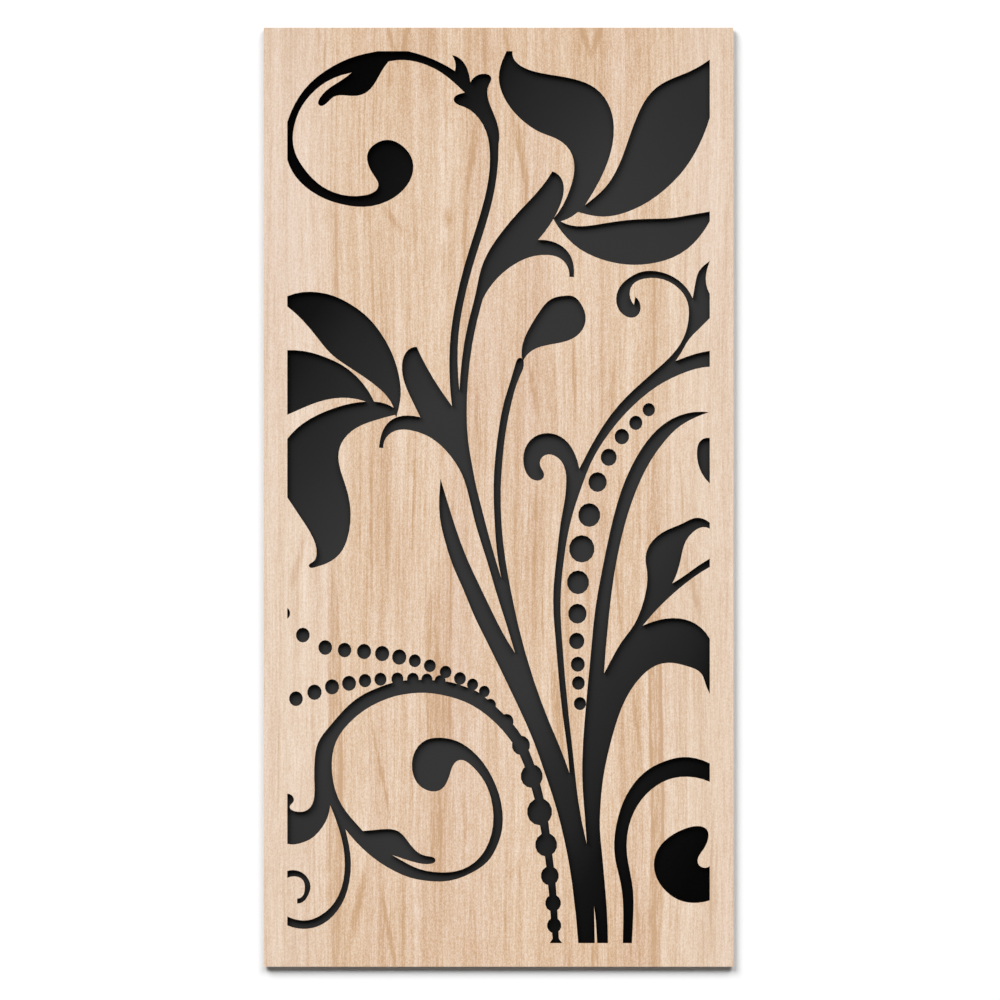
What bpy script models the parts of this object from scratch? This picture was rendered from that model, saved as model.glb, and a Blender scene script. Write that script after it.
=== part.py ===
"""Laser-cut wall panel: an oak-faced sheet pierced with a floral scroll, on a black backing sheet.

The origin is the middle of the backing's rear face, where the panel meets the wall.
X runs to the viewer's right, Y into the wall and Z up, so the front looks along -Y.
The pattern is drawn in millimetres from the lower left corner of its window, and is
stretched to the window's own width and height.
"""
import math

import bmesh
import bpy
import numpy as np
from mathutils import Matrix, Vector

# Driving dimensions, in metres
WINDOW_W = 0.5486
WINDOW_H = 1.1582
MARGIN = 0.0305
FACE_THICKNESS = 0.006
BACK_THICKNESS = 0.003
BACK_INSET = 0.002
GLUE_GAP = 0.0003
CHORD_TOLERANCE = 0.00022
CUTTER_OVERRUN = 0.002

# The beads of the pattern: how much taller than wide, and the number of sides
BEAD_STRETCH = 1.075
BEAD_SIDES = 14

# The sheets: the face is the window and its margin, the backing is a little smaller all round
SHEET_WIDTH = WINDOW_W + 2 * MARGIN
SHEET_HEIGHT = WINDOW_H + 2 * MARGIN
BACK_FRONT = -BACK_THICKNESS
FACE_REAR = BACK_FRONT - GLUE_GAP
FACE_FRONT = FACE_REAR - FACE_THICKNESS
BACK_WIDTH = SHEET_WIDTH - 2 * BACK_INSET
BACK_HEIGHT = SHEET_HEIGHT - 2 * BACK_INSET

# The pattern is drawn in millimetres from the window's lower left corner.
# An outline is a list of edges. Each edge is a smooth curve through its knots that starts where
# the last one ended, so the joint between two edges is a corner, and one knot is a straight edge.

# The trunk, its four stems, their hooks and buds, and the ring at the top left
PLANT = [
    # trunk's left side up to the pointed leaf, and back down
    [(377.8, 0), (374.7, 35.8), (370, 75.8), (364, 113.2), (355.5, 152.1), (345.5, 188), (333.6, 223.3),
     (320, 261.8), (300, 307.1), (280, 349), (260.1, 389.6), (240.1, 430.9), (228.5, 459.4), (215, 490),
     (204.4, 523.3), (198.1, 552.6), (197.3, 580.6), (198.9, 603)],
    [(208.1, 572.6), (218.1, 540.6), (233.4, 499.3), (250.7, 462), (266.1, 430), (280.2, 402.3),
     (295.6, 377)],
    # left stem up to its hook
    [(284.6, 413.6), (270.1, 459.4), (258.8, 498), (245.4, 540.6), (235.6, 580.6), (227.4, 607.2),
     (217.5, 625), (200, 645.7), (180.2, 659.5), (160, 666), (140, 665.2), (128, 655.7),
     (124.6, 642.7)],
    [(118.9, 643.4)],
    [(120.6, 654.3), (126.6, 670.3), (137.3, 680.7), (150, 684.8), (163.9, 684.6), (172.6, 683)],
    # calyx of the left flower
    [(160, 708.9), (151, 731.6), (149, 751.5), (153.9, 766.8), (160, 772.4), (167.9, 774.4)],
    [(180.2, 749.5), (200, 716.9), (213.7, 697.6)],
    # tall stem up to the ring
    [(211.1, 726.2), (210.4, 758.2), (212.4, 792.8), (217.7, 827.8), (230.4, 881.1), (245.7, 930.4),
     (256.3, 967.6), (262.7, 1006), (262.7, 1030.8), (258.3, 1053.5), (248.3, 1071.4), (230.4, 1085.4),
     (220, 1089.7), (216, 1095.4), (223, 1102.5), (230.4, 1104.5)],
    # ring's inner side with the leaf inside it
    [(217.7, 1116.4), (200, 1130.4), (180.2, 1140.5), (159.9, 1145.9), (142.6, 1146.5), (131.5, 1144.8)],
    [(123.3, 1133.4), (112, 1114), (100, 1103), (80, 1100.3), (60.1, 1098.7), (48.1, 1088.3),
     (41.5, 1087.8), (42, 1097), (50.1, 1106.7), (69.4, 1119.8), (83.4, 1130.3)],
    [(70.7, 1127.1), (50.1, 1118), (30.1, 1101.4), (15.4, 1080.1), (8.8, 1060.1), (7.1, 1045.5),
     (10.1, 1026.8), (20.1, 1008.2), (40.1, 986.3), (60.1, 975), (80, 970.3), (100, 971), (112, 975),
     (118.2, 983), (113.3, 995.6), (104.7, 1012.2), (104.7, 1026.8), (114, 1037.8), (130, 1043.1),
     (150, 1034.8), (162.6, 1016.2), (161.9, 996.5), (150, 977.4), (130, 963.4), (110, 957.1),
     (90, 956.3), (70.7, 959.4), (50.1, 965.9), (30.1, 977), (10.1, 996.3), (0, 1017.3)],
    [(0, 1066.3)],
    [(10.1, 1090.3), (30, 1117.1), (60, 1139.1), (80, 1148.7), (100, 1154.7), (117.3, 1158.2)],
    [(156.6, 1158.2)],
    [(180.2, 1151.3), (200, 1142.7), (217.7, 1132.4)],
    # the three points of the bud, and the tall stem's right side
    [(218.4, 1141.3), (213.7, 1153.3)],
    [(225.7, 1147.3), (233.4, 1136), (237.7, 1117.8)],
    [(245, 1126), (257, 1128.8), (264.7, 1124), (261.9, 1114.7), (259.7, 1105), (261.4, 1094.1),
     (270, 1072.1), (275.2, 1050.8), (274.3, 1036.8)],
    [(273.9, 1016.2), (271.9, 995.6), (266.4, 965), (252.7, 917), (239.4, 874.4), (227.5, 825.2),
     (222.4, 790.1), (221.2, 755.5), (223.4, 717.6)],
    # middle stem up to the right flower's calyx
    [(226.8, 758.2), (234.2, 802.3), (244.9, 845.1), (251.7, 875.8), (263.1, 901.1), (280.3, 925.7),
     (300, 949), (330, 981.6), (344.2, 1002.2)],
    [(355.5, 993.6), (359.1, 979), (354.9, 959.7), (340.2, 931.7), (325.6, 913.2)],
    [(342.9, 911.4), (357.5, 904.4), (368.8, 890.4), (372.4, 873.1), (372.2, 864.8)],
    [(366.2, 865.1)],
    [(363.5, 879.1), (353.5, 889.7), (338.9, 893.5), (320.2, 892.1), (300, 884.4), (280.3, 870.7),
     (261.7, 849.8), (253.7, 835.8)],
    [(247, 810.5), (240.3, 778.2), (234.4, 728.9), (233, 688.9), (235, 651), (240.1, 620),
     (243.8, 600), (249.3, 576.6), (260, 535.3), (271.2, 495.3), (278, 473.6)],
    # stem of the small bud
    [(272.4, 506), (269.1, 548.6), (267.8, 593.9), (270.3, 633.8), (275, 670.3), (281.6, 703.6),
     (290.3, 731.6), (296.9, 754.2), (302.3, 760.1), (307.2, 754.2), (302.3, 736.9), (291.6, 703.6),
     (283.6, 663.7), (279.4, 626.4), (277.2, 589.9), (278.3, 543.3), (283, 499.3), (290.3, 458.1),
     (300, 412.3), (320, 341.7), (340.2, 287.1), (354.1, 254.2), (366.5, 220.8)],
    # right stem's left side and its hook
    [(363, 257), (357.5, 296.4), (352.2, 347), (348.5, 392.3), (345.7, 427), (345.8, 463.4),
     (350.2, 506), (354.9, 545.9), (360.9, 580.6), (362.2, 600), (358.9, 620.5), (346.9, 633),
     (334.9, 633.7), (328.3, 620), (333.3, 606.5), (324.9, 600.5), (313.6, 605.9), (306.9, 621.5),
     (308.3, 641), (320.2, 657), (338.9, 662.3), (360.1, 654), (372.7, 637), (379.2, 616)],
    # scroll at the right stem's top
    [(392.7, 642.3), (410, 671.6), (430, 698.3), (450.2, 718.9), (470.2, 736.9), (489.9, 754.2),
     (505.9, 771.5), (517.2, 792.8), (521.3, 815.6), (519.8, 831.8), (509.9, 848.5), (495.2, 859.1),
     (479.9, 863.5), (463.2, 862.7), (448.6, 855.1), (444.6, 842.5), (450.2, 828.9)],
    [(451.9, 839.4)],
    [(458.6, 828), (451.3, 812.9), (440.6, 813.5), (430.6, 822.5), (427, 837.2), (432, 852.5),
     (444.6, 864.4), (460.2, 871.8), (479.9, 872.4), (500, 865.8), (514.5, 855.1), (526.3, 837.4)],
    # leaf cut by the window's edge, and the twig below it
    [(530.1, 858.4), (534.5, 872.4), (541, 880), (548.6, 885.8)],
    [(545.1, 875.1), (543.4, 863), (548.6, 842.8)],
    [(548.6, 811.6)],
    [(533.8, 796.8), (521.8, 784.2), (511.2, 766.2), (504.3, 755.9)],
    [(519.8, 761.9), (529.8, 765.1), (548.6, 769.2)],
    [(548.6, 748.5)],
    # right stem's right side down into the slot beside the pointed stem
    [(529.8, 745.5), (509.9, 738.5), (489.9, 728.9), (470.2, 716), (450.2, 698.9), (430, 677.6),
     (410, 651), (394, 623), (382.7, 593.9), (374, 568.6), (366.7, 541.9), (361.4, 514),
     (357.4, 483.4), (355.3, 456.7), (355, 428), (356.9, 392.3), (360.5, 347), (365.5, 295.1),
     (370.5, 250.5), (374, 217.3), (378, 184), (382.3, 158.7), (388.8, 128.8)],
    # pointed stem, up and back down
    [(386.4, 164), (383.6, 200), (383, 236), (385.8, 285.8), (389.3, 325.7), (394.7, 383),
     (400, 434.9), (408, 480.7), (419.3, 535.3), (434, 588.5), (445.9, 617), (460.2, 642.3),
     (479.9, 666.3), (500, 681), (519.8, 688.3), (547.5, 689.3)],
    [(529.8, 682.6), (509.9, 671.4), (489.9, 651.7), (472.6, 627.7), (460.2, 604.5), (447.3, 572.6),
     (438.6, 544.6), (430.6, 511.3), (424.6, 479.4), (418, 428.5), (413.6, 383), (411.3, 350.3)],
    # right-hand leaves
    [(420.2, 367), (434, 391), (449.9, 412.9), (459.8, 435), (466.6, 462), (467.2, 482),
     (465.2, 500.7), (473.9, 522), (493.9, 536.9), (515.2, 545.9), (528.5, 551.9), (540.1, 551),
     (548.6, 545.9)],
    [(548.6, 538.2)],
    [(540.1, 540.2), (527.2, 534), (517.8, 522.6), (511.9, 503.3), (506.5, 482), (500, 467.1)],
    [(519.8, 480), (535, 491), (548.6, 499.4)],
    [(548.6, 488.4)],
    [(529.8, 476.7), (509.9, 461.4), (490.5, 444), (473.9, 426.9), (461.7, 412.3)],
    [(475.2, 417.6), (489.9, 421.2), (509.9, 421.6), (529.8, 414.9), (548.6, 395.2)],
    [(548.6, 323.7)],
    # trunk's right side, and the narrow slot at its foot
    [(542.9, 337), (537.8, 349.7), (519.8, 359.4), (500, 363.9), (479.9, 361), (460.2, 346.8),
     (439.9, 318), (426, 282.2), (416.5, 246.5), (410, 213.3), (406.4, 174.7), (406, 146.5),
     (408.9, 114.8), (411.8, 82.5), (414.8, 46), (416.4, 0)],
    [(402.4, 0)],
    [(400.7, 27.8), (398.4, 48.1)],
    [(398.8, 25), (399.3, 0)],
    [(377.8, 0)],
]

# The three petals of the right flower, met at one point on its calyx
RIGHT_PETALS = [
    [(345.4, 940.4), (357.4, 957.3), (367.5, 980.5), (372.6, 1010), (366.8, 1029.5), (350.2, 1044.1),
     (330, 1052.1), (310.3, 1064.1), (290.3, 1084.1), (278.3, 1105.4), (274.6, 1124), (279, 1145.3),
     (284.7, 1158.2)],
    [(292.3, 1158.2)],
    [(293.3, 1150), (302.9, 1139.3), (320.2, 1132), (350.2, 1126.3), (380, 1119.8), (400, 1110.1),
     (416, 1091.4), (424, 1060.1), (419.3, 1024.2), (406, 991.3), (386.7, 958.3)],
    [(400, 969), (412.6, 981), (426, 1001), (435.3, 1021.5), (445.9, 1052.1), (455.3, 1076.1),
     (467.2, 1098.1), (479.9, 1111.4), (500, 1122.7), (519.8, 1130.7), (548.6, 1147.3)],
    [(548.6, 1072)],
    [(540.1, 1048.1), (529.8, 1026.8), (509.9, 998), (489.9, 978.3), (469.9, 963.4), (450.2, 953),
     (430, 945.9), (410, 943.3), (390, 945.9), (377.4, 949.3)],
    [(370, 943.7), (354.9, 937.1)],
    [(370, 931.7), (390, 931.4), (410, 934.4), (439.9, 938.7), (470.2, 940.5), (500, 941.7),
     (519.8, 945), (548.6, 950)],
    [(548.6, 937.7)],
    [(540.1, 923.7), (519.8, 901.7), (500, 890), (479.9, 883.8), (460.2, 881), (439.9, 881.2),
     (420.2, 884.4), (400, 890.8), (380, 901.1), (362.9, 916), (345.4, 940.4)],
]

# The three petals of the left flower, met at one point on its hook
LEFT_PETALS = [
    [(141.6, 682.6), (144.6, 694.3), (147.3, 711.6), (145, 736.9), (135.3, 767.5), (120, 794.3),
     (100, 816.8), (80, 830.9), (60.1, 840.5), (40.1, 845.1), (20.1, 845.4), (0, 840.1)],
    [(0, 826.8)],
    [(20.1, 808.6), (40.1, 784.8), (57.4, 764.6), (80, 748.1), (100, 734.9), (120, 719.6),
     (134, 703.6), (138, 695.2)],
    [(128, 700.3), (112.7, 703.2)],
    [(105.3, 716.9), (90, 735.8), (70.7, 750.9), (50.1, 760.6), (30.1, 767.1), (0, 770)],
    [(0, 686)],
    [(20.1, 694.9), (40.1, 702.7), (60.1, 707.3), (80, 707.9), (102, 703.2)],
    [(83.4, 700.9), (63.4, 695.6), (40.1, 686.3), (20.1, 674.6), (0, 654.8)],
    [(0, 578.8)],
    [(20.1, 548.6), (34.1, 524.6), (38.1, 505.3), (32.8, 494.7), (27.9, 489.6), (34.8, 487.7),
     (50.1, 492.7), (68, 505.3), (77.4, 523.3), (82, 547.3), (81.4, 569.9), (75.4, 595.2),
     (67, 623.5), (67, 639), (73.4, 654.1), (90, 669.2), (110, 677.6), (126.6, 682.6), (140, 685.9)],
    [(141.6, 682.6)],
]

SMALL_BUD = [
    [(305.6, 754), (304.2, 762.5), (305.6, 778.2), (316.2, 802.1), (329.5, 823), (342.9, 836.5),
     (360.2, 840.7), (371, 840), (380.7, 831.2), (387.3, 814.8), (383.4, 796.8), (370, 784.8),
     (350.2, 778.8), (330.2, 774.8), (313.6, 766.2), (305.6, 754)],
]

# The scroll at the lower left: outer ring with the bead chain's ribbon, a leaf, the inner ring
# with its bulb, and the thin tail that runs out at the window's left edge
SCROLL = [
    [(0, 194.2), (7.5, 190), (7.9, 183.4), (3.2, 177.4), (9.5, 171.4), (20.1, 170.7), (30.1, 176.7),
     (35, 190.7), (35, 214.6), (35.7, 239.9), (40.1, 260.5), (50.1, 275.8), (64.7, 293.1),
     (80, 309.3), (100, 323.7), (120, 332.6), (136, 338.1), (160, 341.9), (190.1, 341.3),
     (215.7, 338), (232.4, 332.5), (246, 327), (257, 319), (271, 306.8), (293.6, 283.8),
     (304.3, 269.1), (313.8, 250), (328.5, 206.7), (338.9, 157.4), (344.2, 114.8), (348.5, 77.5),
     (350.6, 42.5), (352.6, 5.9)],
    [(357.1, 0)],
    [(340.9, 0)],
    [(344.5, 5.9)],
    [(342.2, 31.6), (339.9, 62.2), (336.2, 99.5), (330.2, 141.4), (320.9, 187.4), (308, 229.3),
     (301.6, 244.6), (291.6, 261.1), (279.6, 276.4), (260.1, 295.1), (240.1, 308.8), (220.1, 317.3),
     (200, 322.4), (180, 325), (160, 324.2), (140, 320.6), (120, 313.4), (100, 302.4), (80, 285.5),
     (63.4, 261.8), (57.8, 234), (59.8, 209.3), (70.7, 179.4), (83.4, 162.1), (98, 145.7)],
    [(113.3, 147), (130, 148.3), (143.9, 145.4), (155.3, 134.1), (165.5, 121.4), (175.1, 114.8),
     (185.8, 112.5), (192.4, 107.5), (187.1, 103.1), (170, 103.9), (150.6, 109.5), (136.2, 114.4)],
    [(150, 106.5), (170, 96.8), (190, 92.5), (210.1, 92.1), (227, 95.7), (243, 104.8), (257, 121.4),
     (265, 141.4), (267.6, 165.4), (264.3, 188.7), (256.3, 209.3), (245.7, 224), (235, 234),
     (224.4, 237.8), (217, 233.3), (211.7, 221.3), (206.4, 207.3), (197.7, 198.4), (183.1, 198),
     (171.5, 204.8), (163.9, 217.3), (161.8, 233.3), (166.6, 250.6), (180.2, 263.8), (197.7, 266.8),
     (220.1, 262.5), (240.1, 249.7), (253.7, 235.3), (265.7, 216), (275, 193.3), (279.4, 170.7),
     (278.7, 146.7), (271.6, 124.1), (259.7, 105.5), (240.1, 91.7), (220.1, 83.2), (200, 79.9),
     (180.2, 81), (160, 84.8), (140, 93.1), (120, 104.8), (100, 120.8), (80, 142.1), (75.6, 147.8)],
    [(80, 128.1), (82.7, 104.1), (80.7, 80.2), (74.7, 58.9), (65.4, 42.5), (53.4, 29.8),
     (38.7, 21.4), (20.1, 18.5), (0, 23)],
    [(0, 34.7)],
    [(10.8, 30.8), (26.8, 29.8), (42.7, 35.8), (56.1, 46.5), (66.3, 61.5), (72.7, 81.3), (74.7, 102),
     (72.7, 125.4), (66.7, 149.4), (55.8, 178.9)],
    [(54.3, 170), (50.1, 158.3), (40, 143.6), (30, 135), (20, 130.7), (10, 128.2), (0, 129)],
    [(0, 194.2)],
]

LEFT_HOOK = [
    [(0, 93.8), (8, 94.9), (20, 91.2), (28, 82), (30.2, 73.5), (27, 62), (20, 53.2), (12.8, 51.4)],
    [(12.8, 57.9)],
    [(18.8, 60), (22.7, 70), (20.5, 81.5), (10, 86.7), (0, 84.8)],
    [(0, 93.8)],
]

RIGHT_HOOK = [
    [(548.6, 233.5), (530, 240.2), (514, 241.7), (490, 236.2), (470, 226.4), (450, 207.3), (436, 183),
     (427.5, 155), (424.4, 130.8), (427, 102.8), (433, 77.5), (436, 50), (436.2, 28), (435.6, 0)],
    [(447.5, 0)],
    [(449.4, 40), (449, 68.2), (445, 92.8), (441.2, 114.8), (441.4, 140.1), (447, 162.8),
     (460, 186.3), (480, 204.9), (500, 214), (520, 216.1), (548.6, 209.4)],
    [(548.6, 233.5)],
]

HEART = [
    [(548.6, 100.1), (539.8, 98.1), (533.2, 104), (540, 121.2), (546.5, 135.8), (545, 147.2), (533, 152.1),
     (515, 148.2), (495, 137.2), (481, 121.5), (476, 101.5), (480, 83.8), (492, 67.2), (508, 56.2),
     (528, 52.2), (548.6, 55.5)],
    [(548.6, 100.1)],
]

HALF_DOT = [
    [(548.6, 656.1), (540.5, 655), (535, 650.3), (532.1, 641), (532.2, 630), (538, 610.5), (548.6, 596.8)],
    [(548.6, 656.1)],
]

EDGE_BEAD = [
    [(0, 435.2), (2.8, 432.2), (3.6, 428.3), (2.8, 424.4), (0, 421.3)],
    [(0, 435.2)],
]

# Bead rows, each bead as (x, z, radius across)
UPPER_ROW = [
    (20.2, 400, 9.0), (49.3, 383.9, 9.0), (74.4, 380.6, 8.9), (99.7, 378.7, 9.3), (123.2, 376, 9.4),
    (145.4, 371.5, 9.4), (165.6, 366.7, 7.9), (185.1, 360.2, 7.8), (205.6, 352.1, 7.7),
    (224.2, 343.7, 7.8), (240.6, 335.8, 7.3), (255.9, 326.8, 7.1), (263.6, 309.5, 7.4),
    (284.7, 287.9, 9.2), (303.4, 256.9, 11.8), (317.4, 216.9, 14.4), (327.6, 170.6, 16.4),
    (336.1, 127.8, 14.3), (340.9, 87.5, 11.7), (345.1, 52.1, 10.3), (346.5, 23, 9.3),
]
LOWER_ROW = [
    (11.3, 317.4, 9.0), (35.3, 325.8, 9.4), (58.1, 332.8, 9.3), (80.2, 337.4, 9.2), (100.9, 340.9, 8.2),
    (121, 342.7, 8.0), (143, 343.1, 7.9), (163.1, 342.9, 7.8), (181.3, 342.2, 7.4), (198.4, 340.3, 7.3),
]
STEM_ROW = [
    (469.4, 692.7, 8.1), (452.5, 675.6, 8.7), (434.4, 657.8, 9.5), (417.4, 630.9, 10.5),
    (402.9, 598.7, 12), (392.1, 555.9, 14.4), (382.4, 512, 16.6), (377.5, 468.5, 14.4),
    (376.7, 427.8, 12.1), (375.8, 392.4, 10.1), (377.2, 362.2, 9.2), (378, 337.8, 8.4), (380, 311.1, 8),
]

OUTLINES = {
    "plant": PLANT,
    "right_petals": RIGHT_PETALS,
    "left_petals": LEFT_PETALS,
    "small_bud": SMALL_BUD,
    "scroll": SCROLL,
    "left_hook": LEFT_HOOK,
    "right_hook": RIGHT_HOOK,
    "heart": HEART,
    "half_dot": HALF_DOT,
    "edge_bead": EDGE_BEAD,
}
BEAD_ROWS = {"upper": UPPER_ROW, "lower": LOWER_ROW, "stem": STEM_ROW}

# The drawing's own extent: its outlines reach from 0 to the window's right and top edges
KNOTS = [knot for edges in OUTLINES.values() for edge in edges for knot in edge]
DRAWING_W = max(knot[0] for knot in KNOTS)
DRAWING_H = max(knot[1] for knot in KNOTS)


def clear_scene():
    for obj in list(bpy.data.objects):
        bpy.data.objects.remove(obj, do_unlink=True)


def make_collection(name):
    collection = bpy.data.collections.new(name)
    bpy.context.scene.collection.children.link(collection)
    return collection


def make_material(name, colour, roughness):
    material = bpy.data.materials.new(name)
    material.use_nodes = True
    shader = material.node_tree.nodes["Principled BSDF"]
    shader.inputs["Base Color"].default_value = (*colour, 1.0)
    shader.inputs["Roughness"].default_value = roughness
    shader.inputs["Metallic"].default_value = 0.0
    material.diffuse_color = (*colour, 1.0)
    return material


def window_point(knot):
    """Place a knot of the drawing, in millimetres, in the window, in metres."""
    return np.array([
        (knot[0] / DRAWING_W - 0.5) * WINDOW_W,
        (knot[1] / DRAWING_H - 0.5) * WINDOW_H,
    ])


def curve_directions(knots):
    """Solve for the turn at each knot so that the curvature changes evenly along the edge."""
    steps = np.diff(knots, axis=0)
    lengths = np.hypot(steps[:, 0], steps[:, 1])
    headings = np.arctan2(steps[:, 1], steps[:, 0])
    turns = np.diff(headings)
    turns = (turns + math.pi) % (2 * math.pi) - math.pi
    count = len(knots)
    matrix = np.zeros((count, count))
    right = np.zeros(count)
    matrix[0, 0] = 1.0
    matrix[0, 1] = 1.0
    right[0] = -turns[0]
    for i in range(1, count - 1):
        following = turns[i] if i < count - 2 else 0.0
        matrix[i, i - 1] = 1.0 / lengths[i - 1]
        matrix[i, i] = 2.0 / lengths[i - 1] + 2.0 / lengths[i]
        matrix[i, i + 1] = 1.0 / lengths[i]
        right[i] = -(2.0 * turns[i - 1] / lengths[i - 1] + following / lengths[i])
    matrix[-1, -2] = 1.0
    matrix[-1, -1] = 1.0
    leaving = np.linalg.solve(matrix, right)
    arriving = np.append(-turns - leaving[1:-1], -leaving[-1])
    return lengths, headings, leaving[:-1], arriving


def handle_length(leaving, arriving):
    """Length of a curve handle for a chord of one, from the angles at its two ends."""
    near = math.sin(leaving) - math.sin(arriving) / 16
    far = math.sin(arriving) - math.sin(leaving) / 16
    spread = math.cos(leaving) - math.cos(arriving)
    top = 2 + math.sqrt(2) * near * far * spread
    root = math.sqrt(5)
    return top / (3 * (1 + (root - 1) / 2 * math.cos(leaving) + (3 - root) / 2 * math.cos(arriving)))


def smooth_edge(knots):
    """Points along the smooth curve through the knots, without the first knot."""
    if len(knots) == 2:
        return [knots[1]]
    lengths, headings, leaving, arriving = curve_directions(knots)
    points = []
    for i, length in enumerate(lengths):
        a = knots[i]
        d = knots[i + 1]
        out = headings[i] + leaving[i]
        back = headings[i] - arriving[i]
        b = a + length * handle_length(leaving[i], arriving[i]) * np.array([math.cos(out), math.sin(out)])
        c = d - length * handle_length(arriving[i], leaving[i]) * np.array([math.cos(back), math.sin(back)])
        bend = max(np.linalg.norm(a - 2 * b + c), np.linalg.norm(b - 2 * c + d))
        pieces = max(1, math.ceil(math.sqrt(0.75 * bend / CHORD_TOLERANCE)))
        for k in range(1, pieces + 1):
            t = k / pieces
            s = 1 - t
            points.append(s ** 3 * a + 3 * s * s * t * b + 3 * s * t * t * c + t ** 3 * d)
    return points


def outline_points(edges):
    """The closed outline of a cut-out, as points on the sheet."""
    start = window_point(edges[0][0])
    points = [start]
    for i, edge in enumerate(edges):
        knots = [window_point(knot) for knot in edge]
        if i > 0:
            knots.insert(0, points[-1])
        points.extend(smooth_edge(np.array(knots)))
    return points[:-1]


def bead_points(x, z, radius):
    """A bead's outline: an ellipse a little taller than wide."""
    points = []
    for k in range(BEAD_SIDES):
        angle = 2 * math.pi * (k + 0.5) / BEAD_SIDES
        across = radius * math.cos(angle)
        up = radius * BEAD_STRETCH * math.sin(angle)
        points.append(window_point((x + across, z + up)))
    return points


def make_prism(name, points, collection):
    """Stand a flat outline up in the sheet's plane and give it thickness."""
    curve = bpy.data.curves.new(name, "CURVE")
    curve.dimensions = "2D"
    curve.fill_mode = "BOTH"
    curve.extrude = FACE_THICKNESS / 2 + CUTTER_OVERRUN
    spline = curve.splines.new("POLY")
    spline.points.add(len(points) - 1)
    for point, place in zip(spline.points, points):
        point.co = (place[0], place[1], 0.0, 1.0)
    spline.use_cyclic_u = True
    drawn = bpy.data.objects.new(name + "_curve", curve)
    drawn.matrix_world = Matrix.Translation((0, (FACE_FRONT + FACE_REAR) / 2, 0)) @ Matrix.Rotation(
        math.pi / 2, 4, "X")
    collection.objects.link(drawn)
    bpy.context.view_layer.update()
    graph = bpy.context.evaluated_depsgraph_get()
    mesh = bpy.data.meshes.new_from_object(drawn.evaluated_get(graph))
    work = bmesh.new()
    work.from_mesh(mesh)
    bmesh.ops.remove_doubles(work, verts=work.verts, dist=0.000001)
    bmesh.ops.recalc_face_normals(work, faces=work.faces)
    work.to_mesh(mesh)
    work.free()
    solid = bpy.data.objects.new(name, mesh)
    solid.matrix_world = drawn.matrix_world
    collection.objects.link(solid)
    bpy.data.objects.remove(drawn, do_unlink=True)
    solid.hide_render = True
    solid.display_type = "WIRE"
    return solid


def make_sheet(name, width, thickness, height, middle_y, material, collection):
    """A plain rectangular sheet, upright, as wide and tall as given."""
    mesh = bpy.data.meshes.new(name)
    work = bmesh.new()
    bmesh.ops.create_cube(work, size=1.0)
    bmesh.ops.scale(work, vec=Vector((width, thickness, height)), verts=work.verts)
    work.to_mesh(mesh)
    work.free()
    sheet = bpy.data.objects.new(name, mesh)
    sheet.location = (0, middle_y, 0)
    sheet.data.materials.append(material)
    collection.objects.link(sheet)
    return sheet


def build():
    clear_scene()
    panel = make_collection("laser_cut_wall_panel")
    cutters = make_collection("pattern_cutters")
    oak = make_material("oak_face", (0.79, 0.64, 0.51), 0.5)
    black = make_material("black_backing", (0.012, 0.012, 0.013), 0.55)

    back_middle = (BACK_FRONT + 0.0) / 2
    make_sheet("back_sheet", BACK_WIDTH, BACK_THICKNESS, BACK_HEIGHT, back_middle, black, panel)
    face_middle = (FACE_FRONT + FACE_REAR) / 2
    face = make_sheet("face_sheet", SHEET_WIDTH, FACE_THICKNESS, SHEET_HEIGHT, face_middle, oak, panel)

    for name, edges in OUTLINES.items():
        make_prism("cut_" + name, outline_points(edges), cutters)
    for row, beads in BEAD_ROWS.items():
        for number, bead in enumerate(beads):
            make_prism(f"cut_bead_{row}_{number:02d}", bead_points(*bead), cutters)

    piercing = face.modifiers.new("piercing", "BOOLEAN")
    piercing.operation = "DIFFERENCE"
    piercing.solver = "EXACT"
    piercing.operand_type = "COLLECTION"
    piercing.collection = cutters


build()
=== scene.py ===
"""Laser-cut wall panel: an oak-faced sheet pierced with a floral scroll, on a black backing."""
import math

import bpy
import numpy as np
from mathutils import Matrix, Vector


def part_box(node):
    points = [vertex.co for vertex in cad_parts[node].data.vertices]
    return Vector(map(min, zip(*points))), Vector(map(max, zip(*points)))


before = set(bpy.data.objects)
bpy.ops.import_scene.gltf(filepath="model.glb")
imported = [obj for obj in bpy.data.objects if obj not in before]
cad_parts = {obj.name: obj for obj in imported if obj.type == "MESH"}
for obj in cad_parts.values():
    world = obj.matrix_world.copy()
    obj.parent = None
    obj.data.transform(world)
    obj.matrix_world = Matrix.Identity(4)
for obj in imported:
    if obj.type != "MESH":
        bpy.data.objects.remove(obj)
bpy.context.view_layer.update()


# Backing sheet. The real piece is a thin black-painted board, a little smaller than the face all
# round. It is sawn square, sprayed satin black and glued flat to the rear of the face sheet,
# so it shows through every cut-out, and its rear lies against the wall.
def add_node(tree, kind, **settings):
    node = tree.nodes.new("ShaderNode" + kind)
    for name, value in settings.items():
        setattr(node, name, value)
    return node


def feed(tree, source, target):
    """Joins an output to an input, or sets the input where the source is a plain value."""
    if isinstance(source, bpy.types.NodeSocket):
        tree.links.new(source, target)
    else:
        target.default_value = source


def math_node(tree, operation, *values):
    node = add_node(tree, "Math", operation=operation)
    for value, socket in zip(values, node.inputs):
        feed(tree, value, socket)
    return node.outputs[0]


def map_range(tree, value, low, high, start=0.0, end=1.0, smooth=False):
    node = add_node(tree, "MapRange", interpolation_type="SMOOTHSTEP" if smooth else "LINEAR")
    for source, socket in zip((value, low, high, start, end), node.inputs):
        feed(tree, source, socket)
    return node.outputs[0]


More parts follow.
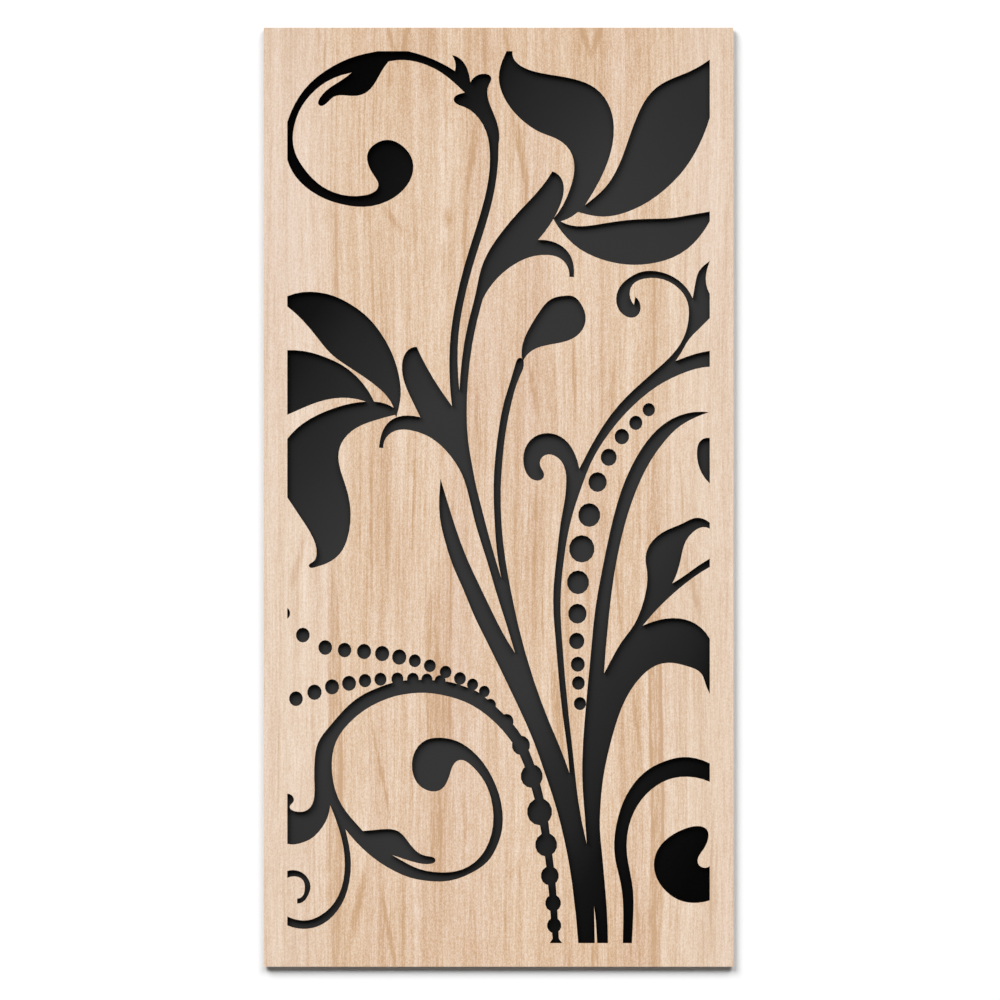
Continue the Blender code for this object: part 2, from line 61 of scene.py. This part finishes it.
def mix_colour(tree, factor, first, second, blend="MIX"):
    node = add_node(tree, "Mix", data_type="RGBA", blend_type=blend)
    for name, value in (("Factor_Float", factor), ("A_Color", first), ("B_Color", second)):
        socket = next(s for s in node.inputs if s.identifier == name)
        feed(tree, value, socket)
    return next(s for s in node.outputs if s.identifier == "Result_Color")


def noise(tree, vector, scale, detail, roughness=0.5):
    node = add_node(tree, "TexNoise")
    feed(tree, vector, node.inputs["Vector"])
    node.inputs["Scale"].default_value = scale
    node.inputs["Detail"].default_value = detail
    node.inputs["Roughness"].default_value = roughness
    return node.outputs[0]


def from_noise(tree, pattern, start, end):
    """Noise lies mostly from 0.3 to 0.7, and this spreads it out from start to end."""
    return map_range(tree, pattern, 0.3, 0.7, start, end)


def axes_of(tree, vector):
    """The three parts of a vector: across to the right, deep to the rear, and up."""
    node = add_node(tree, "SeparateXYZ")
    feed(tree, vector, node.inputs[0])
    return node.outputs


def rearward(tree):
    """How far a face looks to the rear: 1 on the rear, -1 on the front and 0 on a cut wall."""
    return axes_of(tree, add_node(tree, "NewGeometry").outputs["True Normal"])[1]


def stretched(tree, vector, scale, location=(0.0, 0.0, 0.0)):
    """The same coordinates with each axis at its own scale, moved to another part of a pattern."""
    node = add_node(tree, "Mapping")
    feed(tree, vector, node.inputs["Vector"])
    node.inputs["Scale"].default_value = scale
    node.inputs["Location"].default_value = location
    return node.outputs[0]


def srgb(red, green, blue):
    """A colour of the screen, from 0 to 255, as the linear colour that a shader takes."""
    values = np.array([red, green, blue]) / 255.0
    linear = np.where(values <= 0.04045, values / 12.92, ((values + 0.055) / 1.055) ** 2.4)
    return (*linear.tolist(), 1.0)


def shades(tree, value, stops):
    """A colour ramp: each stop is a place from 0 to 1 and a colour of the screen."""
    node = add_node(tree, "ValToRGB")
    points = node.color_ramp.elements
    for number, (at, shade) in enumerate(stops):
        point = points[number] if number < 2 else points.new(at)
        point.position = at
        point.color = srgb(*shade)
    feed(tree, value, node.inputs[0])
    return node.outputs[0]


def new_material(name):
    material = bpy.data.materials.new(name)
    material.use_nodes = True
    return material, material.node_tree, material.node_tree.nodes["Principled BSDF"]


def bump(tree, height, strength):
    node = add_node(tree, "Bump")
    node.inputs["Strength"].default_value = strength
    node.inputs["Distance"].default_value = RELIEF
    feed(tree, height, node.inputs["Height"])
    return node.outputs[0]


back_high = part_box("back_sheet")[1]
# Depth of the finest relief, in metres, and how squarely a face looks forward or back to count
# as the front or the rear
RELIEF = 0.00008
SQUARE_ON = 0.7
# How far the painted sheen is turned from the diagonal and moved off the middle, as shares of the
# sheet, then how far a point is from its middle, and the grey painted there as light and shade
PAINTED_SHEEN_TURN = 0.15
PAINTED_SHEEN_SHIFT = 0.03
PAINTED_SHEEN = ((0.0, 52), (0.25, 52), (0.40, 41), (0.50, 33), (0.59, 17), (0.67, 9), (0.80, 1))
# How far the clouds move the painted sheen's rim, where along it its ends begin to dim and stop,
# and by how much
CLOUDS = 0.03
DIM_FROM, DIM_TO, DIMMING = 0.6, 0.85, 0.22
# Colours of the dust, of the rear's thin and full coat, and of its scuffs, and how strong they are
DUST, DUST_STRENGTH = srgb(64, 63, 61), 0.12
THIN_COAT, FULL_COAT = srgb(58, 57, 55), srgb(36, 36, 36)
SCUFFS, SCUFF_STRENGTH = srgb(104, 100, 94), 0.28


def black_paint_with_painted_sheen():
    """Satin black paint. On the front a broad sheen, painted light in the base colour, lies along
    the diagonal from the lower left to the upper right, charcoal there and a painted shade near
    black in the two other corners, with faint clouds in its rim and dust in a fine sprayed grain.
    The rear has one thin cloudy coat with scuffs."""
    material, tree, shader = new_material("black_backing_paint_with_painted_sheen")
    place = add_node(tree, "TexCoord").outputs["Object"]
    across, _, up = axes_of(tree, place)
    # 0 in the middle of the painted sheen, about 1 in the upper left and lower right corners
    side = math_node(tree, "MULTIPLY", across, (1 - PAINTED_SHEEN_TURN) / (2 * back_high.x))
    height = math_node(tree, "MULTIPLY", up, (1 + PAINTED_SHEEN_TURN) / (2 * back_high.z))
    slope = math_node(tree, "SUBTRACT", math_node(tree, "SUBTRACT", side, height), PAINTED_SHEEN_SHIFT)
    off_diagonal = math_node(tree, "ABSOLUTE", slope)
    cloud = noise(tree, stretched(tree, place, (6.0, 6.0, 4.0)), 1.0, 2.0)
    drift = map_range(tree, cloud, 0.2, 0.8, -CLOUDS, CLOUDS)
    off_diagonal = math_node(tree, "ADD", off_diagonal, drift)
    # painted light: charcoal where the sheen lies, and painted shade near black away from it
    painted_sheen = shades(tree, off_diagonal, [(at, (grey, grey, grey)) for at, grey in PAINTED_SHEEN])
    # the painted sheen dims a little at its two ends, in the lower left and upper right corners
    along = math_node(tree, "ABSOLUTE", math_node(tree, "ADD", side, height))
    dimming = map_range(tree, along, DIM_FROM, DIM_TO, 0.0, DIMMING)
    painted_sheen = mix_colour(tree, dimming, painted_sheen, srgb(0, 0, 0))
    grit = noise(tree, place, 2600.0, 1.0, 0.6)
    front = mix_colour(tree, map_range(tree, grit, 0.66, 0.8, 0.0, DUST_STRENGTH), painted_sheen, DUST)

    coat = noise(tree, stretched(tree, place, (5.0, 5.0, 9.0)), 1.0, 4.0, 0.6)
    rear = mix_colour(tree, map_range(tree, coat, 0.35, 0.65), FULL_COAT, THIN_COAT)
    scuff = noise(tree, stretched(tree, place, (12.0, 12.0, 330.0)), 1.0, 2.0)
    rear = mix_colour(tree, map_range(tree, scuff, 0.66, 0.78, 0.0, SCUFF_STRENGTH), rear, SCUFFS)
    is_rear = math_node(tree, "GREATER_THAN", rearward(tree), SQUARE_ON)
    feed(tree, mix_colour(tree, is_rear, front, rear), shader.inputs["Base Color"])

    orange_peel = noise(tree, place, 420.0, 2.0, 0.55)
    feed(tree, from_noise(tree, orange_peel, 0.42, 0.56), shader.inputs["Roughness"])
    shader.inputs["Specular IOR Level"].default_value = 0.03
    feed(tree, bump(tree, orange_peel, 0.4), shader.inputs["Normal"])
    return material


back_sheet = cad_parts["back_sheet"]
for material_slot in back_sheet.material_slots:
    material_slot.material = black_paint_with_painted_sheen()


# Face sheet. The real piece is 6 mm board with an oak veneer on its front, its grain running up
# the panel. The scroll is cut through it by laser, which leaves square walls browned by the beam,
# and the cut face is glued to the backing.
def oak_figure_group():
    """Grain of flat-sawn oak as a node group. The grain first sways a few millimetres sideways.
    Bands, lines, fibres and flecks are noise drawn out up the grain, each narrower and shorter
    than the last."""
    group = bpy.data.node_groups.new("oak_figure", "ShaderNodeTree")
    group.interface.new_socket("Vector", in_out="INPUT", socket_type="NodeSocketVector")
    group.interface.new_socket("Swayed", in_out="OUTPUT", socket_type="NodeSocketVector")
    for name in ("Band", "Line", "Fibre", "Fleck"):
        group.interface.new_socket(name, in_out="OUTPUT", socket_type="NodeSocketFloat")
    entry = group.nodes.new("NodeGroupInput")
    leave = group.nodes.new("NodeGroupOutput")
    place = entry.outputs["Vector"]
    sway = noise(group, stretched(group, place, (6.0, 6.0, 3.0)), 1.0, 1.0, 0.4)
    shift = add_node(group, "CombineXYZ")
    feed(group, map_range(group, sway, 0.0, 1.0, -SWAY, SWAY), shift.inputs[0])
    move = add_node(group, "VectorMath", operation="ADD")
    feed(group, place, move.inputs[0])
    feed(group, shift.outputs[0], move.inputs[1])
    grain = move.outputs[0]
    feed(group, grain, leave.inputs["Swayed"])
    for name, scale, detail in (
            ("Band", (62.0, 20.0, 2.0), 2.0),
            ("Line", (270.0, 90.0, 4.0), 2.0),
            ("Fibre", (560.0, 300.0, 34.0), 1.0),
            ("Fleck", (900.0, 700.0, 520.0), 0.0)):
        pattern = noise(group, stretched(group, grain, scale), 1.0, detail, 0.6)
        feed(group, pattern, leave.inputs[name])
    return group


# How far the grain sways to each side, in metres
SWAY = 0.008
oak_figure = oak_figure_group()
face_low, face_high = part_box("face_sheet")
# How dark the wood is, and its colour there: cream, straw, tan and brown
OAK_SHADES = (
    (0.0, (242, 223, 205)), (0.35, (229, 204, 180)),
    (0.65, (217, 185, 154)), (1.0, (200, 162, 126)))
# Where the pale long borders and the brown ends begin and are full, in metres from the middle
BORDER_FROM, BORDER_FULL = 0.19, 0.27
END_FROM, END_FULL = 0.44, 0.60
BORDER_PALE = srgb(229, 213, 198)
# A pinkish cast that multiplies the wood's colour in soft patches
BLUSH = srgb(252, 250, 255)
# The cut walls: the board's core from light to dark, the scorch at the exit, and the veneer's skin
CORE_LIGHT, CORE_DARK = srgb(122, 84, 54), srgb(84, 54, 33)
SCORCH, SKIN = srgb(38, 24, 15), srgb(196, 158, 120)
# The veneer's darker marks, in millimetres from the panel's middle: place across, place up, half
# width, half height, lean in millimetres across for each up, depth of colour, width of full colour
VENEER_MARKS = (
    # the two wide bands, each between two dark lines
    (-213.5, -350, 9.0, 300, 0.0, 0.34, 0.8), (-221.0, -340, 3.2, 290, 0.0, 0.50, 0.2),
    (-206.5, -350, 3.6, 310, 0.0, 0.64, 0.2), (-212.0, 280, 5.0, 190, 0.0, 0.44, 0.2),
    (203.5, -290, 9.0, 420, 0.0, 0.34, 0.8), (196.5, -290, 3.4, 410, 0.0, 0.60, 0.2),
    (210.5, -300, 3.4, 400, 0.0, 0.56, 0.2), (201.0, 235, 5.0, 200, 0.0, 0.46, 0.2),
    # long single lines
    (-179.0, 430, 3.0, 130, 0.0, 0.44, 0.0), (-166.0, -30, 3.0, 170, -0.02, 0.66, 0.1),
    (-145.0, -40, 4.0, 150, -0.03, 0.40, 0.1), (-108.0, 350, 3.8, 110, 0.0, 0.52, 0.1),
    (-111.0, 10, 2.8, 140, 0.0, 0.56, 0.1), (-59.0, -110, 3.4, 170, 0.0, 0.40, 0.1),
    (48.0, -60, 2.4, 190, 0.0, 0.38, 0.0), (58.0, -140, 2.4, 100, 0.0, 0.34, 0.0),
    (-43.0, 350, 3.8, 110, 0.02, 0.50, 0.0), (148.0, 130, 4.4, 90, 0.0, 0.44, 0.0),
    (153.0, -95, 3.4, 100, -0.09, 0.62, 0.0), (277.0, -510, 4.4, 130, -0.02, 0.58, 0.0),
    (180.5, -555, 3.8, 90, -0.05, 0.64, 0.0), (-286.0, -200, 3.0, 420, 0.0, 0.22, 0.0),
    (-112.0, -370, 3.0, 110, 0.0, 0.38, 0.0), (-42.0, -430, 4.0, 65, 0.0, 0.38, 0.1),
    (27.0, -500, 3.0, 105, 0.0, 0.38, 0.0),
    (241.0, 10, 2.8, 70, -0.03, 0.40, 0.0), (-226.0, 575, 3.4, 60, 0.05, 0.46, 0.0),
    (-19.0, 580, 3.6, 50, 0.0, 0.44, 0.0), (98.0, 160, 3.6, 120, 0.0, 0.54, 0.1),
    (-129.0, -80, 2.6, 130, 0.0, 0.34, 0.0), (-87.0, -170, 5.0, 80, 0.0, 0.46, 0.2),
    (157.0, 0, 4.0, 100, 0.0, 0.36, 0.0), (-28.0, 80, 6.0, 130, 0.0, 0.34, 0.3),
    (72.0, 140, 6.0, 90, 0.0, 0.30, 0.2),
    # soft brown zones in the middle and along the right edge
    (45.0, -90, 20.0, 170, 0.0, 0.14, 0.2), (-160.0, -60, 34.0, 190, 0.0, 0.10, 0.2),
    (-75.0, -180, 30.0, 130, 0.0, 0.10, 0.2), (75.0, -275, 8.0, 85, -0.1, 0.46, 0.3),
    (282.0, 0, 36.0, 700, 0.0, 0.08, 0.8),
    # the band behind the lower scroll
    (-75.0, -275, 17.0, 80, 0.0, 0.24, 0.8), (-90.0, -255, 3.4, 120, 0.0, 0.46, 0.1),
    (-60.0, -275, 3.4, 100, 0.0, 0.44, 0.1), (-78.0, -430, 9.0, 90, 0.0, 0.36, 0.6),
    # leaning marks, where the cut runs across the rings
    (-151.0, -362, 4.2, 105, -0.2, 0.54, 0.1), (-262.0, -82, 8.0, 66, 0.24, 0.50, 0.1),
    (-182.0, -525, 8.0, 80, 0.21, 0.72, 0.1), (-140.0, -568, 5.5, 75, -0.2, 0.64, 0.1),
    (254.0, -118, 7.0, 60, -0.27, 0.46, 0.1), (179.0, -290, 4.4, 75, -0.1, 0.50, 0.0),
    (-36.0, 445, 8.0, 70, 0.13, 0.54, 0.1), (26.0, 455, 7.0, 75, -0.16, 0.64, 0.1),
    (36.0, 400, 4.4, 60, 0.0, 0.46, 0.0), (11.0, 590, 4.6, 45, -0.1, 0.48, 0.0),
    (45.0, 145, 6.0, 55, -0.2, 0.46, 0.1), (136.0, -25, 7.0, 55, 0.0, 0.34, 0.0),
    (-138.0, 362, 7.0, 36, -0.7, 0.50, 0.0), (-66.0, 362, 8.0, 20, 0.0, 0.44, 0.0),
    (-71.0, 300, 5.0, 55, 0.0, 0.40, 0.0), (121.0, -598, 7.0, 30, 0.1, 0.66, 0.0),
    # two flames that point down from the upper edge
    (-137.0, 590, 5.6, 42, -0.30, 0.56, 0.1), (-120.0, 590, 5.6, 42, 0.24, 0.56, 0.1),
    (-140.0, 547, 8.0, 28, 0.2, 0.44, 0.0), (113.0, 594, 5.6, 40, -0.32, 0.58, 0.1),
    (127.5, 594, 5.6, 40, 0.31, 0.58, 0.1), (125.0, 548, 6.0, 32, -0.3, 0.34, 0.0),
)


def veneer_mark(tree, grain, across, up, half_width, half_height, lean, depth, core):
    """One darker mark: a tall thin ellipse, leaned over, full in its core and fading to its rim."""
    node = add_node(tree, "Mapping", vector_type="TEXTURE")
    feed(tree, grain, node.inputs["Vector"])
    node.inputs["Location"].default_value = (across / 1000, 0.0, up / 1000)
    node.inputs["Rotation"].default_value = (0.0, math.atan(lean), 0.0)
    node.inputs["Scale"].default_value = (half_width / 1000, 1000.0, half_height / 1000)
    size = add_node(tree, "VectorMath", operation="LENGTH")
    feed(tree, node.outputs[0], size.inputs[0])
    return map_range(tree, size.outputs["Value"], 1.0, core, 0.0, depth, smooth=True)


def oak_veneer():
    """Lacquered oak veneer. One number says how dark the wood is at a point: it adds up the bands,
    lines, fibres, flecks and placed marks, and a ramp turns it from cream through tan to brown."""
    material, tree, shader = new_material("oak_veneer_face")
    place = add_node(tree, "TexCoord").outputs["Object"]
    across, deep, up = axes_of(tree, place)
    figure = add_node(tree, "Group")
    figure.node_tree = oak_figure
    feed(tree, place, figure.inputs["Vector"])
    grain, band, line, fibre, fleck = (
        figure.outputs[name] for name in ("Swayed", "Band", "Line", "Fibre", "Fleck"))

    border = map_range(tree, math_node(tree, "ABSOLUTE", across), BORDER_FROM, BORDER_FULL)
    end = map_range(tree, math_node(tree, "ABSOLUTE", up), END_FROM, END_FULL)
    marks = 0.0
    for mark in VENEER_MARKS:
        marks = math_node(tree, "ADD", veneer_mark(tree, grain, *mark), marks)
    # the fibres break up the marks
    marks = math_node(tree, "MULTIPLY", marks, from_noise(tree, fibre, 0.55, 1.0))
    darkness = from_noise(tree, band, 0.25, 0.60)
    for amount in (
            from_noise(tree, line, -0.13, 0.13),
            # the darkest lines are darker still
            map_range(tree, line, 0.58, 0.66, 0.0, 0.08),
            from_noise(tree, fibre, -0.14, 0.14),
            from_noise(tree, fleck, -0.18, 0.18),
            # the veneer is paler towards both long edges, and browner towards both ends
            map_range(tree, border, 0.0, 1.0, 0.08, -0.05),
            map_range(tree, end, 0.0, 1.0, 0.0, 0.12),
            marks):
        darkness = math_node(tree, "ADD", darkness, amount)
    wood = shades(tree, darkness, OAK_SHADES)
    patches = noise(tree, stretched(tree, place, (14.0, 6.0, 1.3), (3.0, 0.0, 7.0)), 1.0, 1.0)
    rosy = mix_colour(tree, 1.0, wood, BLUSH, "MULTIPLY")
    colour = mix_colour(tree, map_range(tree, patches, 0.42, 0.70, 0.0, 0.7), wood, rosy)
    colour = mix_colour(tree, map_range(tree, border, 0.0, 1.0, 0.0, 0.25), colour, BORDER_PALE)

    # cut walls: veneer skin, then the board's core, browned by the laser and darkest at the exit
    core = noise(tree, stretched(tree, place, (500.0, 1400.0, 500.0)), 1.0, 2.0, 0.6)
    wall = mix_colour(tree, core, CORE_LIGHT, CORE_DARK)
    depth = map_range(tree, deep, face_low.y, face_high.y)
    wall = mix_colour(tree, map_range(tree, depth, 0.0, 1.0, 0.0, 0.6), wall, SCORCH)
    wall = mix_colour(tree, map_range(tree, depth, 0.08, 0.12, 0.7, 0.0), wall, SKIN)
    flat = math_node(tree, "GREATER_THAN", math_node(tree, "ABSOLUTE", rearward(tree)), SQUARE_ON)
    feed(tree, mix_colour(tree, flat, wall, colour), shader.inputs["Base Color"])

    feed(tree, from_noise(tree, fibre, 0.5, 0.6), shader.inputs["Roughness"])
    shader.inputs["Specular IOR Level"].default_value = 0.2
    feed(tree, bump(tree, fibre, 0.3), shader.inputs["Normal"])
    return material


face_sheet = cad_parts["face_sheet"]
for material_slot in face_sheet.material_slots:
    material_slot.material = oak_veneer()


# Setting. A white wall stands right behind the panel, shown only from its front, and a pale floor
# lies well below it. Two broad soft lights hang above, the stronger one at the left, and throw
# the short soft shadow round the panel. A third, behind, is only for looking at its back.
def plain_sheet(name, corners, material):
    mesh = bpy.data.meshes.new(name)
    mesh.from_pydata(corners, [], [tuple(range(len(corners)))])
    mesh.materials.append(material)
    piece = bpy.data.objects.new(name, mesh)
    bpy.context.scene.collection.objects.link(piece)
    return piece


def wall_paint():
    """Matt white wall that is clear from behind, so that the panel's own back can be looked at."""
    material, tree, shader = new_material("white_wall")
    shader.inputs["Base Color"].default_value = (1.0, 1.0, 1.0, 1.0)
    shader.inputs["Roughness"].default_value = 0.9
    shader.inputs["Specular IOR Level"].default_value = 0.1
    clear = add_node(tree, "BsdfTransparent")
    choose = add_node(tree, "MixShader")
    feed(tree, add_node(tree, "NewGeometry").outputs["Backfacing"], choose.inputs[0])
    feed(tree, shader.outputs[0], choose.inputs[1])
    feed(tree, clear.outputs[0], choose.inputs[2])
    feed(tree, choose.outputs[0], tree.nodes["Material Output"].inputs["Surface"])
    return material


def floor_paint():
    material, tree, shader = new_material("pale_floor")
    shader.inputs["Base Color"].default_value = (0.86, 0.86, 0.85, 1.0)
    shader.inputs["Roughness"].default_value = 0.8
    return material


# The wall is a hair behind the panel. Its reach is to each side and up, and the floor's is forward
# and back too
WALL_Y = 0.0004
WALL_REACH = 3.0
FLOOR_Z = -1.05
FLOOR_REACH = 4.0
wall = plain_sheet("wall", [
    (-WALL_REACH, WALL_Y, FLOOR_Z), (WALL_REACH, WALL_Y, FLOOR_Z),
    (WALL_REACH, WALL_Y, WALL_REACH), (-WALL_REACH, WALL_Y, WALL_REACH)], wall_paint())
# the wall lets the light behind it through, so that the panel's back is lit too
wall.visible_shadow = False
wall.visible_diffuse = False
floor = plain_sheet("floor", [
    (-WALL_REACH, -FLOOR_REACH, FLOOR_Z), (WALL_REACH, -FLOOR_REACH, FLOOR_Z),
    (WALL_REACH, FLOOR_REACH, FLOOR_Z), (-WALL_REACH, FLOOR_REACH, FLOOR_Z)], floor_paint())
# the floor throws no light back up, so that the shadow under the panel stays deep
floor.visible_diffuse = False


def broad_light(name, travel, spread, power):
    """A light from very far off. Its spread, in degrees, is how wide its soft source looks."""
    lamp = bpy.data.lights.new(name, "SUN")
    lamp.angle = math.radians(spread)
    lamp.energy = power
    holder = bpy.data.objects.new(name, lamp)
    holder.location = Vector(travel) * -LAMP_AWAY
    holder.rotation_mode = "QUATERNION"
    holder.rotation_quaternion = Vector(travel).to_track_quat("-Z", "Y")
    bpy.context.scene.collection.objects.link(holder)


LAMP_AWAY = 3.0
broad_light("key_above_left", (0.8, 1.0, -1.05), 36.0, 3.03)
broad_light("key_above_right", (-0.5, 1.0, -1.05), 36.0, 1.63)
broad_light("fill_behind", (-0.15, -1.0, -0.4), 60.0, 3.0)

# room: a faint even glow that fills the shadows, and plain white where it is looked at directly
ROOM_GLOW = 0.12
world = bpy.data.worlds.new("room")
world.use_nodes = True
room = world.node_tree
glow = room.nodes["Background"]
glow.inputs["Strength"].default_value = ROOM_GLOW
bright = room.nodes.new("ShaderNodeBackground")
for background in (glow, bright):
    background.inputs["Color"].default_value = (1.0, 1.0, 1.0, 1.0)
swap = room.nodes.new("ShaderNodeMixShader")
feed(room, room.nodes.new("ShaderNodeLightPath").outputs["Is Camera Ray"], swap.inputs[0])
feed(room, glow.outputs[0], swap.inputs[1])
feed(room, bright.outputs[0], swap.inputs[2])
feed(room, swap.outputs[0], room.nodes["World Output"].inputs["Surface"])
bpy.context.scene.world = world
bpy.context.scene.view_settings.view_transform = "Standard"

# camera: square on to the panel, from far enough that it looks flat, framed as the photograph is,
# with the panel a little off the middle of the frame
VIEW_WIDTH = 1.2984
CAMERA_AWAY = 9.0
FRAME_MIDDLE_X, FRAME_MIDDLE_Z = 0.0019, -0.0037
lens = bpy.data.cameras.new("camera")
lens.sensor_width = 36.0
lens.lens = lens.sensor_width * (CAMERA_AWAY + face_low.y) / VIEW_WIDTH
lens.clip_end = 100.0
camera = bpy.data.objects.new("camera", lens)
camera.location = (FRAME_MIDDLE_X, -CAMERA_AWAY, FRAME_MIDDLE_Z)
camera.rotation_euler = (math.pi / 2, 0.0, 0.0)
bpy.context.scene.collection.objects.link(camera)
bpy.context.scene.camera = camera
